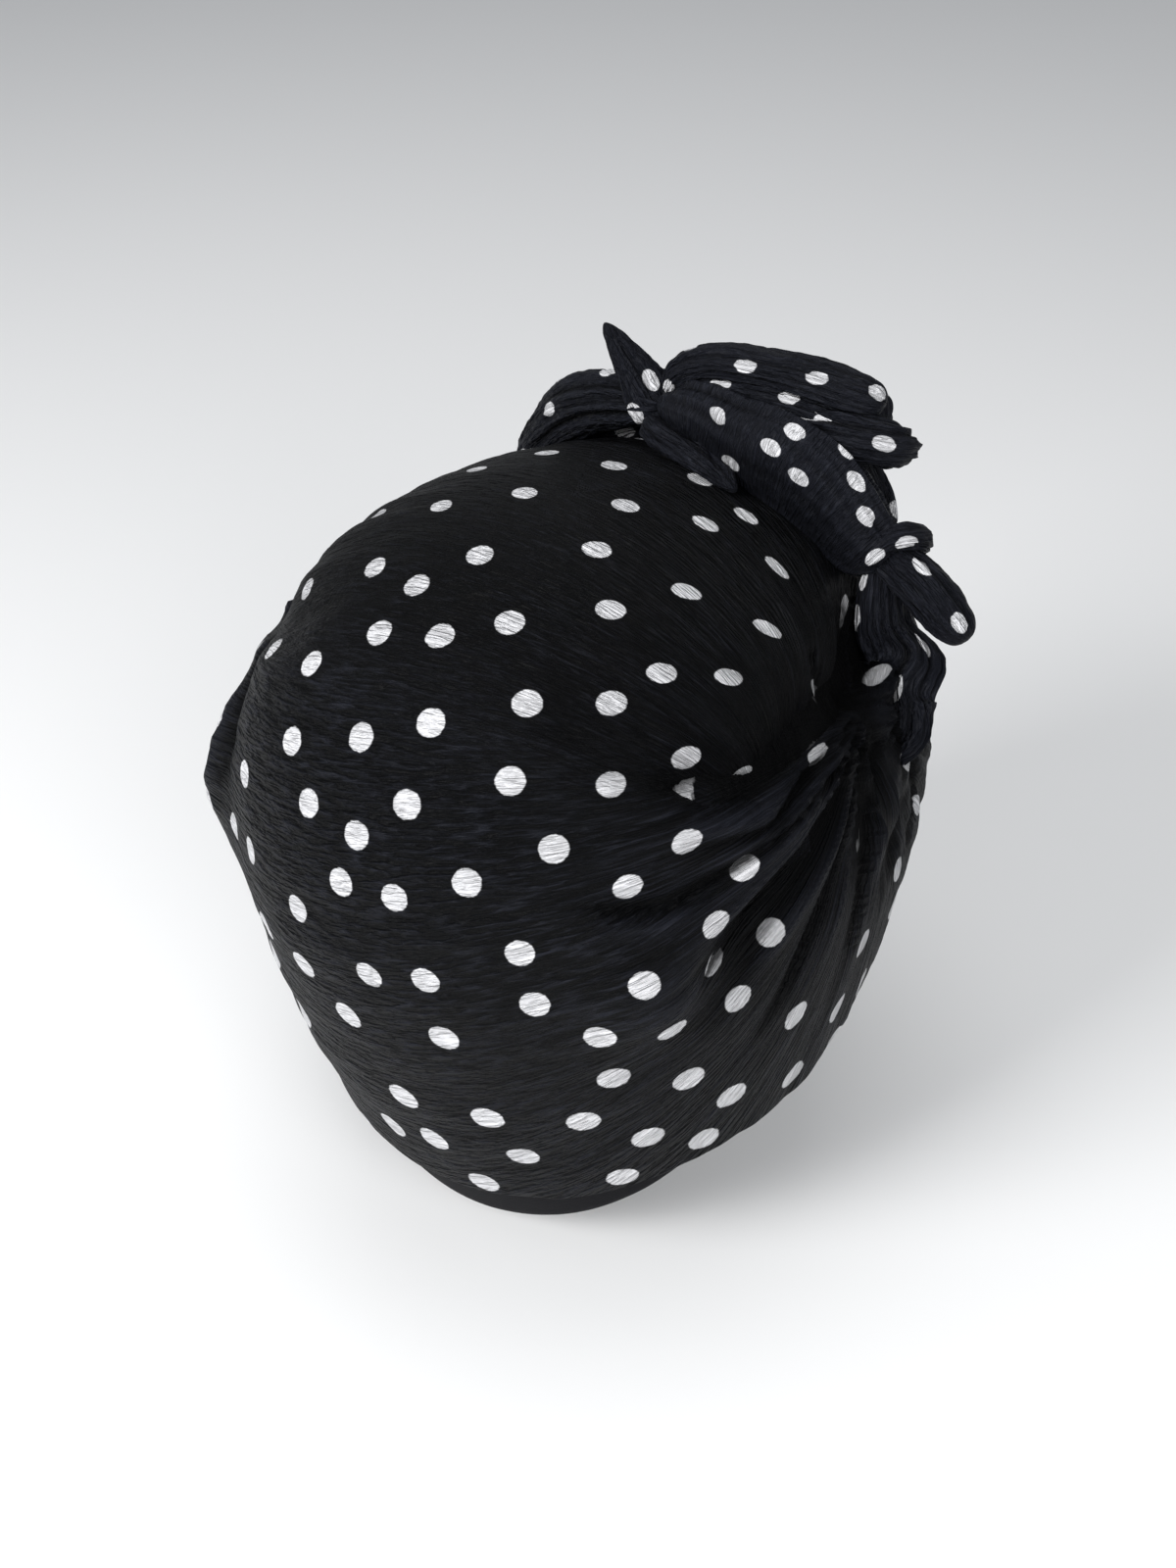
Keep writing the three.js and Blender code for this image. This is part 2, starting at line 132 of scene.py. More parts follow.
# The main folds, as in the solid: height, half widths near the knot and far from it, how much wider the
# upper side is, and the way as (degrees from the nape line, share of the cap's drop).
main_folds = (
    (-8.8, 5.5, 9.5, 1.8,
     ((131, .157), (115, .169), (104, .2), (90, .21), (79, .22), (68, .216), (56, .185))),
    (3.8, 5.5, 7.9, 0.8, ((122, .2), (104, .225), (93, .24), (79, .262), (68, .285), (57, .3))),
    (-5.2, 5.5, 7.1, 1.2,
     ((104, .25), (98, .265), (87, .3), (78, .345), (68, .405), (60, .475), (51, .52), (42, .53))),
    (-2.4, 5.5, 7.9, 1.0,
     ((118, .22), (112, .25), (102, .3), (92, .36), (81, .43), (72, .49), (62, .56))),
    (-2.2, 5.5, 7.9, 1.0, ((128, .26), (118, .31), (108, .38), (100, .45), (90, .53))),
    (-2.4, 7.1, 9.5, 1.3, ((72, .22), (59, .193), (48, .157), (38, .12), (28, .1))),
)
# Finer pleats: height in mm, half width, how sharp, where they start and end to fade, and the way in
# (degrees from the nape line, mm below the crown).
fine_pleats = (
    (-4.2, 2.4, 1.0, 0.35, 0.85,
     ((123, 24), (113, 27), (106, 31), (101, 34), (92, 35), (85, 37), (77, 38), (69, 38), (58, 34),
      (48, 31))),
    (3.4, 2.4, 1.3, 0.05, 0.75, ((101, 37), (90, 39), (76, 41.5), (70, 44), (62, 43), (52, 42))),
    (-2.8, 1.8, 1.0, 0.05, 0.6,
     ((101, 38), (92, 41), (85, 42), (78, 44), (72, 46), (66, 46), (58, 46), (50, 45))),
    (1.8, 2.0, 1.3, 0.05, 0.6, ((100, 40), (90, 43), (82, 45), (75, 47), (68, 49), (60, 51), (50, 51))),
    (-3.8, 2.4, 1.0, 0.05, 0.75,
     ((99, 41), (92, 44), (86, 45), (79, 47), (72, 49), (66, 51), (60, 54), (54, 57), (47, 57), (41, 55),
      (35, 52))),
    (2.4, 2.4, 1.3, 0.05, 0.7,
     ((99, 43), (90, 46), (84, 49), (77, 52), (70, 56), (64, 60), (57, 65), (50, 68))),
    (-3.6, 2.2, 1.0, 0.05, 0.75,
     ((99, 44), (93, 46), (88, 49), (83, 52), (78, 56), (73, 61), (68, 67), (62, 73), (58, 79), (53, 87))),
    (2.0, 2.4, 1.3, 0.05, 0.7, ((100, 45), (94, 50), (88, 56), (82, 62), (76, 69), (70, 77), (62, 86))),
    (-2.4, 2.0, 1.0, 0.05, 0.7, ((101, 44), (98, 47), (92, 56), (86, 68), (80, 81), (74, 95), (67, 106))),
    (-2.0, 1.8, 1.0, 0.05, 0.7, ((103, 45), (100, 52), (97, 62), (94, 76), (92, 92), (90, 108))),
    (-1.8, 1.8, 1.0, 0.05, 0.7, ((107, 45), (106, 58), (103, 74), (100, 90))),
    (-1.8, 1.8, 1.0, 0.05, 0.7, ((112, 46), (113, 60), (110, 76), (107, 90))),
    (-1.6, 1.8, 1.0, 0.05, 0.7, ((118, 44), (120, 58), (118, 70))),
    (-2.0, 1.5, 1.0, 0.1, 0.9, ((98, 22), (97, 25), (97, 29), (98, 32), (101, 35))),
)
# A lip of slack cloth down the wearer's left side, in the same columns
left_pleats = (
    (4.0, 4.0, 1.3, 0.4, 0.6, ((54, 44), (50, 54), (48, 64), (48, 74), (50, 86))),
    (-2.2, 2.6, 1.0, 0.3, 0.6, ((58, 34), (52, 40), (47, 50), (44, 62), (43, 72))),
)
# The left fan is shorter: its fine pleats keep this share of their length
left_fan_kept = 0.6
# Slack cloth that stands proud at the back corners: degrees, share of the drop, height, spread
slack_corner = (52, 0.455, 6.2, 14.8)
# Where the sides are gathered under the knot: degrees from the nape line, mm below the crown
gather = (101, 37)
fold_samples = 60


def on_curve(rows, place):
    """Values on a smooth curve through short rows, at places that are counted in rows."""
    rows = np.array(rows, float)
    slopes = np.gradient(rows, axis=0)
    i = np.clip(place.astype(int), 0, len(rows) - 2)
    s = (place - i)[:, None]
    cubic = rows[i] * (2 * s**3 - 3 * s**2 + 1) + rows[i + 1] * (3 * s**2 - 2 * s**3)
    return cubic + slopes[i] * (s**3 - 2 * s**2 + s) + slopes[i + 1] * (s**3 - s**2)


def along_way(stations):
    """Evenly spread samples of the smooth way that a fold or pleat takes through its stations."""
    return on_curve(stations, np.linspace(0, len(stations) - 1, fold_samples))


def nearest_on(line, points):
    """For each point, the nearest sample of a line and how far away it is."""
    nearest = np.zeros(len(points), int)
    away = np.full(len(points), np.inf)
    for i, sample in enumerate(line):
        distance = np.linalg.norm(points - sample, axis=1)
        closer = distance < away
        nearest[closer], away[closer] = i, distance[closer]
    return nearest, away


def fold_height(points):
    """How far the folds and the slack lift or sink the cloth at points of the bare dome, in mm."""
    height = np.zeros(len(points))
    mirrored = points * np.array([-1, 1, 1])
    right_side = [(1, row) for row in fine_pleats]
    left_side = [(left_fan_kept, row) for row in fine_pleats] + [(1, row) for row in left_pleats]
    for half, pleats in ((points, right_side), (mirrored, left_side)):
        here = np.flatnonzero(half[:, 0] < 25)
        near = half[here]
        for lift, near_width, far_width, upper, way in main_folds:
            stations = along_way(way)
            line = on_dome(np.radians(stations[:, 0]), stations[:, 1] * cap_drop)
            nearest, away = nearest_on(line, near)
            along = nearest / (fold_samples - 1)
            width = near_width + (far_width - near_width) * along
            above = smooth_step(near[:, 2] - line[nearest, 2], -width, width)
            width = width * (1 + (upper - 1) * above)
            ends = smooth_step(along, 0, 0.2) * (1 - smooth_step(along, 0.55, 1))
            height[here] += lift * ends * np.exp(-((away / width) ** 2))
        for kept, (lift, width, sharpness, start, end, way) in pleats:
            stations = along_way(way)
            line = on_dome(np.radians(stations[:, 0]), stations[:, 1])
            nearest, away = nearest_on(line, near)
            along = nearest / (fold_samples - 1)
            ends = smooth_step(along, 0, start) * (1 - smooth_step(along, end * kept, kept))
            spread = width * (0.7 + 0.8 * along)
            if lift < 0:
                below = near[:, 2] < line[nearest, 2]
                spread = spread * np.where(below, 0.6, 1.2)
            height[here] += lift * ends * np.exp(-((away / spread) ** (1 + sharpness * 0.3)))
        degrees, share, lift, spread = slack_corner
        centre = on_dome(np.radians(degrees), share * cap_drop)
        height[here] += lift * np.exp(-(np.linalg.norm(near - centre, axis=1) / spread) ** 2)
    return height


# The edge of the smooth crown over the fan of pleats: degrees from the nape line, mm below the crown
crown_edge = (
    (0, 21), (34, 26), (41, 28), (48, 30), (58, 33), (69, 37), (78, 38), (87, 36), (95, 35), (101, 34),
    (106, 31), (113, 27), (123, 24), (135, 16), (150, 0), (180, 0),
)
# How softly the crown's edge fades: degrees from the nape line, mm either side
crown_edge_blur = ((0, 14), (40, 12), (57, 6), (70, 2), (180, 1.5))


def crown_share(angle, drop):
    degrees = np.abs(np.degrees(angle))
    blur = smooth_table(crown_edge_blur, degrees)
    return 1 - smooth_step(drop - smooth_table(crown_edge, degrees), -blur, blur)


def crinkle_way(points, pole_right, pole_left):
    """Where each point lies along and around an axis between two poles, so that crinkles can follow it."""
    axis = unit(pole_left - pole_right)
    level = unit(np.array([0, 0, 1]) - axis * axis[2])
    forward = np.cross(axis, level)
    from_pole = points - pole_right
    along = from_pole @ axis
    turn = np.arctan2(from_pole @ level, from_pole @ forward)
    return np.stack([along, 80 * np.cos(turn), 80 * np.sin(turn)], -1)


# The poles of the crinkles' ways, right and left, in mm: in the fans, and over the crown
fan_poles = np.array([[-77, -17, -37], [70, -35, -75]], float)
crown_poles = np.array([[-78, 10, -61], [77, 10, -107]], float)


def pleat_streaks(points, way):
    """Soft lengthwise wrinkles that follow the crinkles, in mm."""
    lift = np.zeros(len(points))
    for i, (along, level, forward) in enumerate(way):
        streak = noise.noise(Vector((along * 0.028, level * 0.16, forward * 0.16)))
        ripple = noise.noise(Vector((along * 0.07 + 9, level * 0.42, forward * 0.42)))
        lift[i] = 0.7 * streak + 0.3 * ripple
    return lift


gather_reach, gather_spread, gather_middle = 75, 52, 7
crease_pitch = 4.2


def gather_pleats(points, share_of_crown):
    """Radiating pleats, packed close where the side is gathered under the knot, in mm."""
    lift = np.zeros(len(points))
    for side in (1, -1):
        pole = on_dome(np.radians(side * gather[0]), np.array(gather[1], float))
        outward = dome_normal(np.radians(side * gather[0]), np.array(gather[1], float))
        down = unit(np.array([0, 0, -1]) + outward * outward[2])
        across = np.cross(outward, down)
        offset = points - pole
        reach = np.linalg.norm(offset, axis=1)
        for i in np.flatnonzero(reach < gather_reach):
            turn = math.atan2(offset[i] @ across, offset[i] @ down)
            c, s = math.cos(turn), math.sin(turn)
            crease = noise.noise(Vector((crease_pitch * c, crease_pitch * s, reach[i] * 0.012 + 3 * side)))
            fine_pitch = 1.9 * crease_pitch
            fine = noise.noise(Vector((fine_pitch * c, fine_pitch * s, reach[i] * 0.02 - 5)))
            close = math.exp(-((reach[i] / gather_spread) ** 2)) * min(1, reach[i] / gather_middle)
            pleat = 5.6 * (0.25 - abs(crease)) + 2.2 * (0.2 - abs(fine))
            lift[i] += (1 - share_of_crown[i]) * close * pleat
    return lift


def new_mesh(name, sheet):
    mesh = bpy.data.meshes.new(name)
    sheet.to_mesh(mesh)
    sheet.free()
    for face in mesh.polygons:
        face.use_smooth = True
    piece = bpy.data.objects.new(name, mesh)
    bpy.context.collection.objects.link(piece)
    return piece


def grid_sheet(columns, rows):
    """A flat sheet of cloth, with the column and row share of every vertex in order."""
    sheet = bmesh.new()
    bmesh.ops.create_grid(sheet, x_segments=columns, y_segments=rows, size=0.5)
    places = np.array([vertex.co[:] for vertex in sheet.verts])
    return sheet, places[:, 0] + 0.5, places[:, 1] + 0.5


def place_vertices(sheet, places):
    for vertex, place in zip(sheet.verts, places):
        vertex.co = place * MM


def close_sheet(sheet):
    bmesh.ops.remove_doubles(sheet, verts=sheet.verts, dist=1e-6)
    bmesh.ops.recalc_face_normals(sheet, faces=sheet.faces)


def mark_sheet(sheet, from_dots, fan_way, crown_way, crown, shade):
    """Marks that the material reads: dots, the crinkles' way, painted shade in folds and painted highlights
    on ridges.
    """
    vectors = {"dot_place": from_dots, "fan_way": fan_way, "crown_way": crown_way}
    numbers = {"dot_distance": np.linalg.norm(from_dots, axis=1), "crown": crown, "shade": shade}
    for name, values in vectors.items():
        layer = sheet.verts.layers.float_vector.new(name)
        for vertex, value in zip(sheet.verts, values):
            vertex[layer] = value
    for name, values in numbers.items():
        layer = sheet.verts.layers.float.new(name)
        for vertex, value in zip(sheet.verts, values):
            vertex[layer] = value


shade_rounds, full_shade_depth = 14, 0.9


def fold_shade(lift, columns, rows):
    """How deep each point lies below the cloth round it, from -1 atop ridges to 1 in a fold, for painted
    shade and painted highlights.
    """
    grid = lift.reshape(rows + 1, columns + 1)
    around = grid.copy()
    for _ in range(shade_rounds):
        sideways = np.roll(around[:, :-1], 1, axis=1) + np.roll(around[:, :-1], -1, axis=1)
        around[:, :-1] = around[:, :-1] * 0.5 + sideways * 0.25
        around[:, -1] = around[:, 0]
        around[1:-1] = around[1:-1] * 0.5 + (around[:-2] + around[2:]) * 0.25
    return np.clip((around - grid).ravel() / full_shade_depth, -1, 1)


# One repeat of the dots: (mm across, mm down) from the middle of the back of the crown
dot_repeat = (
    (-6, -112), (15, -98), (41, -94), (-33, -79), (-10, -81), (18, -75), (39, -71), (52, -78),
    (57, -59), (-47, -56), (-18, -56), (10, -57),
    (-33, -48), (31, -46), (51, -39), (13, -39), (-40, -35), (-9, -35), (-25, -32), (-60, -29), (24, -24),
    (40, -25), (-4, -16), (14, -17), (-25, -12), (-42, -10), (-63, -10), (30, -6), (-7, 0), (14, 1),
    (46, -3), (-57, 5), (-30, 5), (-43, 13), (2, 14), (30, 12), (54, 1), (18, 22), (-17, 22), (45, 18),
    (-49, 24), (-34, 27), (12, 30), (38, 31), (-66, 32), (-5, 38), (57, 36), (22, 43), (41, 43), (-29, 47),
    (-45, 48), (-70, 50), (-2, 52), (49, 54), (13, 60), (31, 58), (-58, 65), (-27, 65),
)
repeat_across, repeat_down = 132, 152
# The repeat's middle on the cap: degrees from the nape line, mm below the crown
dot_middle = (34, 30)
dot_gap, low_dot_gap = 10.5, 16
crown_radius = 92
dot_pinch, dot_pinch_reach = 1.3, 52


def dot_centres(points):
    """Middles of the dots on the bare dome: the repeat laid from the back of the crown all round."""
    middle = on_dome(np.radians(dot_middle[0]), np.array(dot_middle[1], float))
    outward = dome_normal(np.radians(dot_middle[0]), np.array(dot_middle[1], float))
    down = unit(np.array([0, 0, -1]) + outward * outward[2])
    across = np.cross(outward, down)
    offset = points - middle
    chord = np.linalg.norm(offset, axis=1)
    arc = 2 * crown_radius * np.arcsin(np.clip(chord / (2 * crown_radius), 0, 1))
    flat = offset - np.outer(offset @ outward, outward)
    chart = unit(flat) * arc[:, None]
    chart = np.stack([chart @ across, chart @ down], -1)
    tree = kdtree.KDTree(len(chart))
    for i, (a, b) in enumerate(chart):
        tree.insert((a, b, 0), i)
    tree.balance()
    kept = []
    shifts = [(i, j) for i in range(-2, 3) for j in range(-2, 3)]
    for i, j in sorted(shifts, key=lambda shift: abs(shift[0]) + abs(shift[1])):
        for a, b in dot_repeat:
            place = Vector((a + i * repeat_across, b + j * repeat_down, 0))
            _, index, away = tree.find(place)
            if away > 3:
                continue
            centre = points[index]
            gap = dot_gap + (low_dot_gap - dot_gap) * smooth_step(-centre[2], 70, 110)
            if (i, j) != (0, 0):
                gap = low_dot_gap
            if all(np.linalg.norm(centre - other) > gap for other in kept):
                kept.append(centre)
    return np.array(kept)


def dot_places(points, centres):
    """Where each point lies from the nearest dot's middle.

    Dots lie narrower across the tight pleats at the gather, and wider low down.
    """
    tree = kdtree.KDTree(len(centres))
    for i, centre in enumerate(centres):
        tree.insert(centre, i)
    tree.balance()
    owner = np.array([tree.find(point)[1] for point in points])
    offset = points - centres[owner]
    pole = on_dome(np.radians(gather[0]), np.array(gather[1], float))
    centre = centres[owner]
    side = np.where(centre[:, :1] > 0, -1, 1) * np.array([[1, 0, 0]]) + np.array([[0, 1, 1]])
    mirrored = centre * side
    to_pole = unit(mirrored - pole) * side
    reach = np.linalg.norm(mirrored - pole, axis=1)
    along = np.sum(offset * to_pole, axis=1, keepdims=True) * to_pole
    pinch = (1 + dot_pinch * np.exp(-((reach / dot_pinch_reach) ** 2)))[:, None]
    swell = (1 - 0.2 * smooth_step(-centre[:, 2], 60, 120))[:, None]
    return (along / pinch**0.35 + (offset - along) * pinch) * swell


cap_columns, cap_rows, lining_rows = 400, 200, 16
sheet, column, row = grid_sheet(cap_columns, cap_rows + lining_rows)
turned = cap_rows / (cap_rows + lining_rows)
outer = row <= turned + 1e-6
down_share = np.clip(np.where(outer, row / turned, (1 - row) / (1 - turned)), 0, 1)
# The rows are spread evenly over the length of the nape line, and the columns lie closer at the back
trial = np.linspace(0, 1, 2000) ** 2
nape_line = on_dome(np.zeros(len(trial)), trial * cap_drop)
length = np.append(0, np.cumsum(np.linalg.norm(np.diff(nape_line, axis=0), axis=1)))
down_share = np.interp(down_share * length[-1], length, trial)
turn = (column - 0.5) * 2 * math.pi
angle = turn - 0.3 * np.sin(turn)
drop = down_share * hem_drop(angle)
bare = on_dome(angle, drop)
normal = dome_normal(angle, drop)
normal[drop < 1e-3] = (0, 0, 1)  # one normal at the crown, so that the pole closes
fan_way = crinkle_way(bare, *fan_poles)
crown_way = crinkle_way(bare, *crown_poles)
crown = crown_share(angle, drop)
wrinkles = np.where(outer, pleat_streaks(bare, fan_way), 0)
crown_wrinkles = np.where(outer, pleat_streaks(bare, crown_way), 0)
wrinkles = wrinkles + (crown_wrinkles - wrinkles) * crown
folds = fold_height(bare)
lift = folds + wrinkles * smooth_step(drop, 0, 12) + np.where(outer, gather_pleats(bare, crown), 0)
hem_round = np.where(outer, cloth_wall * 0.5 * smooth_step(down_share, 0.985, 1) ** 2, cloth_wall)
places = bare + normal * (lift - hem_round)[:, None]
centres = dot_centres(bare[outer])
from_dots = dot_places(bare, centres)
# Painted shade in folds and painted highlights on ridges: the shade mark, deeper still in the deep main
# folds
shade = fold_shade(lift, cap_columns, cap_rows + lining_rows) + np.clip(-folds / 8, 0, 0.6)
place_vertices(sheet, places)
mark_sheet(sheet, from_dots, fan_way, crown_way, crown, shade)
close_sheet(sheet)
cap = new_mesh("cap", sheet)


def nodes_of(material):
    tree = material.node_tree
    tree.nodes.clear()

    def add(kind, inputs=(), **settings):
        node = tree.nodes.new(kind)
        for name, value in settings.items():
            setattr(node, name, value)
        for socket, value in dict(inputs).items():
            if isinstance(value, bpy.types.NodeSocket):
                tree.links.new(value, node.inputs[socket])
            else:
                node.inputs[socket].default_value = value
        return node

    return add


def crinkled_jersey(name, ground, dot_white, dot_radius):
    """Charcoal jersey: crinkles that run along the cloth, fine ribs, woven white dots where wanted, painted
    shade and highlights.
    """
    material = bpy.data.materials.new(name)
    material.use_nodes = True
    add = nodes_of(material)

    def ground_times(factor):
        return (*[v * factor for v in ground], 1)

    def crinkles(attribute, scale, seed):
        where = add("ShaderNodeAttribute", attribute_name=attribute).outputs["Vector"]
        stretched = add("ShaderNodeMapping", {"Vector": where, "Location": (seed, 0, 0), "Scale": scale})
        return add("ShaderNodeTexNoise", {
            "Vector": stretched.outputs[0], "Scale": 1, "Detail": 2.5, "Roughness": 0.55, "Distortion": 0.25,
        }).outputs["Fac"]

    share = add("ShaderNodeAttribute", attribute_name="crown").outputs["Fac"]
    fan = crinkles("fan_way", (0.17, 1.25, 1.25), 3)
    crown = crinkles("crown_way", (0.17, 1.25, 1.25), 7)
    creases = add("ShaderNodeMix", {0: share, 2: fan, 3: crown}, data_type="FLOAT").outputs[0]
    broad_fan = crinkles("fan_way", (0.08, 0.55, 0.55), 13)
    broad_crown = crinkles("crown_way", (0.08, 0.55, 0.55), 17)
    broad = add("ShaderNodeMix", {0: share, 2: broad_fan, 3: broad_crown}, data_type="FLOAT").outputs[0]
    height = add("ShaderNodeMapRange", {
        "Value": creases, "From Min": 0.36, "From Max": 0.7, "To Min": 0, "To Max": 1,
    }, interpolation_type="SMOOTHSTEP").outputs[0]
    # Painted sheen: the crests of the crinkles are lightened in the colour, as though catching light
    painted_crest_sheen = add("ShaderNodeMapRange", {
        "Value": creases, "From Min": 0.42, "From Max": 0.68, "To Min": 0, "To Max": 1,
    }, interpolation_type="SMOOTHSTEP").outputs[0]
    place = add("ShaderNodeTexCoord").outputs["Object"]
    weave = add("ShaderNodeTexNoise", {"Vector": place, "Scale": 2600, "Detail": 1}).outputs["Fac"]
    patches = add("ShaderNodeTexNoise", {"Vector": place, "Scale": 40, "Detail": 3}).outputs["Fac"]
    dot_place = add("ShaderNodeAttribute", attribute_name="dot_place").outputs["Vector"]
    dot_length = add("ShaderNodeVectorMath", {0: dot_place}, operation="LENGTH").outputs["Value"]
    far = add("ShaderNodeAttribute", attribute_name="dot_distance").outputs["Fac"]
    far = add("ShaderNodeMath", {0: far, 1: 0.6}, operation="SUBTRACT").outputs[0]
    distance = add("ShaderNodeMath", {0: dot_length, 1: far}, operation="MAXIMUM").outputs[0]
    shade = add("ShaderNodeAttribute", attribute_name="shade").outputs["Fac"]
    # Painted shade: the colour darkens towards near black in folds, by the shade mark
    painted_fold_shade = add("ShaderNodeMapRange", {
        "Value": shade, "From Min": 0.0, "From Max": 1, "To Min": 0, "To Max": 0.9,
    }).outputs[0]
    # Painted highlight: raised cloth of the folds and pleats is lightened in the colour by the shade mark
    painted_ridge_highlight = add("ShaderNodeMapRange", {
        "Value": shade, "From Min": -0.1, "From Max": -1, "To Min": 0, "To Max": 0.5,
    }).outputs[0]
    # Painted shade: the colour of the smooth crown is darkened
    painted_crown_shade = add("ShaderNodeMapRange", {
        "Value": share, "From Min": 0.5, "From Max": 1, "To Min": 0, "To Max": 0.5,
    }).outputs[0]
    # Painted sheen: the ties, knot and tails are lightened in the colour
    painted_roll_sheen = add("ShaderNodeMapRange", {
        "Value": share, "From Min": 0, "From Max": -1, "To Min": 0, "To Max": 0.55,
    }).outputs[0]
    ragged = add("ShaderNodeTexNoise", {"Vector": place, "Scale": 900, "Detail": 1}).outputs["Fac"]
    edge = add("ShaderNodeMath", {0: ragged, 1: 0.5, 2: distance}, operation="MULTIPLY_ADD").outputs[0]
    dots = add("ShaderNodeMapRange", {
        "Value": edge, "From Min": dot_radius + 0.1, "From Max": dot_radius + 0.4, "To Min": 1, "To Max": 0,
    }).outputs[0]
    # Over the dark ground: painted sheen and highlights, random patches, and painted shade on the crown
    dark = ground_times(0.2)
    for amount, factor in ((painted_crest_sheen, 6.5), (patches, 0.6), (painted_ridge_highlight, 7), (painted_crown_shade, 0.2), (painted_roll_sheen, 6)):
        dark = add("ShaderNodeMixRGB", {
            "Fac": amount, "Color1": dark, "Color2": ground_times(factor),
        }).outputs[0]
    # Painted shade: the dots are greyer down in the crinkles' troughs and full white on their crests
    white = add("ShaderNodeMixRGB", {
        "Fac": height, "Color1": (*[v * 0.8 for v in dot_white], 1), "Color2": (*dot_white, 1),
    }).outputs[0]
    colour = add("ShaderNodeMixRGB", {"Fac": dots, "Color1": dark, "Color2": white}).outputs[0]
    # The painted shade in folds darkens the ground and the dots alike
    colour = add("ShaderNodeMixRGB", {
        "Fac": painted_fold_shade, "Color1": colour, "Color2": ground_times(0.3),
    }).outputs[0]
    relief = add("ShaderNodeMath", {0: weave, 1: 0.1, 2: height}, operation="MULTIPLY_ADD").outputs[0]
    relief = add("ShaderNodeMath", {0: broad, 1: 2.2, 2: relief}, operation="MULTIPLY_ADD").outputs[0]
    bump = add("ShaderNodeBump", {"Height": relief, "Strength": 1, "Distance": 0.0012}).outputs[0]
    cloth = add("ShaderNodeBsdfPrincipled", {
        "Base Color": colour, "Roughness": 0.5, "Specular IOR Level": 0.07, "Sheen Weight": 0.003,
        "Sheen Roughness": 0.5, "Normal": bump,
    })
    add("ShaderNodeOutputMaterial", {"Surface": cloth.outputs[0]})
    return material


dotted_jersey = crinkled_jersey("dotted_jersey", (0.0022, 0.0024, 0.0034), (0.72, 0.72, 0.74), 3.25)
cap.data.materials.append(dotted_jersey)
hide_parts("cap_shell")
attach(cap, "root")


# The nape band is the turned under layer of plain black jersey. It is tucked up inside the cap's hem
# and shows as a narrow smooth crescent below it at the nape.
band_arc = math.radians(64)
band_hang, band_fullness, band_tuck, band_wall = 19, 0.6, 26, 1.6
layer_gap = 0.4
sheet, column, row = grid_sheet(120, 40)
inside = row > 0.5
down_share = np.where(inside, 2 - 2 * row, 2 * row)
angle = (column - 0.5) * 2 * band_arc
hang = band_hang * np.clip(np.cos(angle / band_arc * math.pi / 2), 0, 1) ** band_fullness
drop = hem_drop(angle) - band_tuck + (band_tuck + hang) * down_share
bare = on_dome(angle, drop)
normal = dome_normal(angle, drop)
from_edge = np.minimum(np.minimum(down_share, 1 - down_share) * 20, np.minimum(column, 1 - column) * 40)
half_wall = band_wall / 2 * np.sqrt(np.clip(from_edge, 0, 1))
depth = cloth_wall + 2 * layer_gap + band_wall / 2 + np.where(inside, half_wall, -half_wall)
lift = fold_height(bare)
place_vertices(sheet, bare + normal * (lift - depth)[:, None])
close_sheet(sheet)
nape_band = new_mesh("nape_band_cloth", sheet)
plain_jersey = bpy.data.materials.new("plain_jersey")
plain_jersey.use_nodes = True
add = nodes_of(plain_jersey)
place = add("ShaderNodeTexCoord").outputs["Object"]
rib = add("ShaderNodeTexNoise", {"Vector": place, "Scale": 1800, "Detail": 2}).outputs["Fac"]
bump = add("ShaderNodeBump", {"Height": rib, "Strength": 0.6, "Distance": 0.0002}).outputs[0]
black = add("ShaderNodeMixRGB", {
    "Fac": rib, "Color1": (0.002, 0.002, 0.003, 1), "Color2": (0.006, 0.006, 0.008, 1),
})
cloth = add("ShaderNodeBsdfPrincipled", {
    "Base Color": black.outputs[0], "Roughness": 0.75, "Specular IOR Level": 0.08, "Sheen Weight": 0.01,
    "Normal": bump,
})
add("ShaderNodeOutputMaterial", {"Surface": cloth.outputs[0]})
nape_band.data.materials.append(plain_jersey)
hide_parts("nape_band")
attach(nape_band, "root")


# The two side ties are the gathered ends of the cap, which rise over the ears and go in under the knot.
# Each is a flattened bundle of jersey, pleated lengthwise, and is laid against the cap.
roll_sides, roll_steps = 80, 112


def through(stations, share):
    """Values on a smooth curve through stations that are evenly spaced from 0 to 1."""
    return on_curve(stations, np.clip(share, 0, 1) * (len(stations) - 1))


def on_cap(degrees, share, lift):
    """A station of a roll that lies on the cap, in mm."""
    angle, drop = np.radians(degrees), np.array(share * cap_drop)
    bare = on_dome(angle, drop)
    return tuple(bare + dome_normal(angle, drop) * (fold_height(bare[None, :])[0] + lift))


